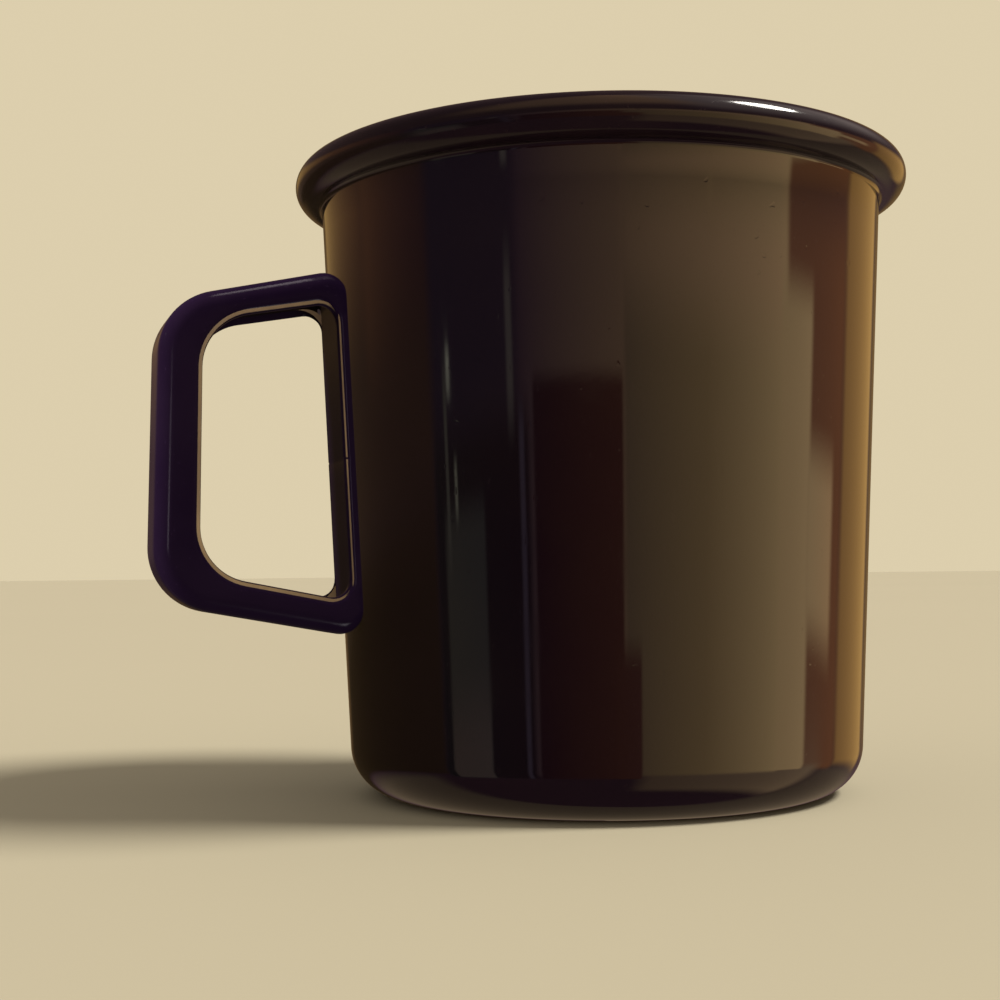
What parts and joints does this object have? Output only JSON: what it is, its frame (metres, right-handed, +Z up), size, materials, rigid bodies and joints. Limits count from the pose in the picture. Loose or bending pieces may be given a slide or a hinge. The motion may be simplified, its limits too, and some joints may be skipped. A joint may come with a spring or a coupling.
{
  "type": "enamel mug",
  "caption": "Rigid enamelled steel mug with a slightly tapered wall, a rolled bead rim, a rounded base corner and a welded closed-loop channel handle.",
  "frame": {"origin": "on the cup's axis, in the plane that the base stands on", "axes": "+Z up along the cup's axis; the handle points along -X; Y runs across the handle"},
  "size_m": [0.111, 0.09, 0.0915],
  "materials": {
    "steel": "bare low-carbon deep-drawing sheet, sealed under enamel",
    "outer_enamel": "very dark brown gloss vitreous enamel",
    "inner_enamel": "very dark brown gloss vitreous enamel",
    "rim_enamel": "near-black brown gloss vitreous enamel",
    "handle_enamel": "near-black satin-gloss vitreous enamel",
    "weld": "fused steel nugget"
  },
  "bodies": {
    "root": {"cup_shell": "steel", "outer_enamel": "outer_enamel", "inner_enamel": "inner_enamel", "rim_enamel": "rim_enamel", "handle_strip": "steel", "handle_enamel": "handle_enamel", "upper_spot_welds": "weld", "lower_spot_welds": "weld"}
  },
  "joints": []
}
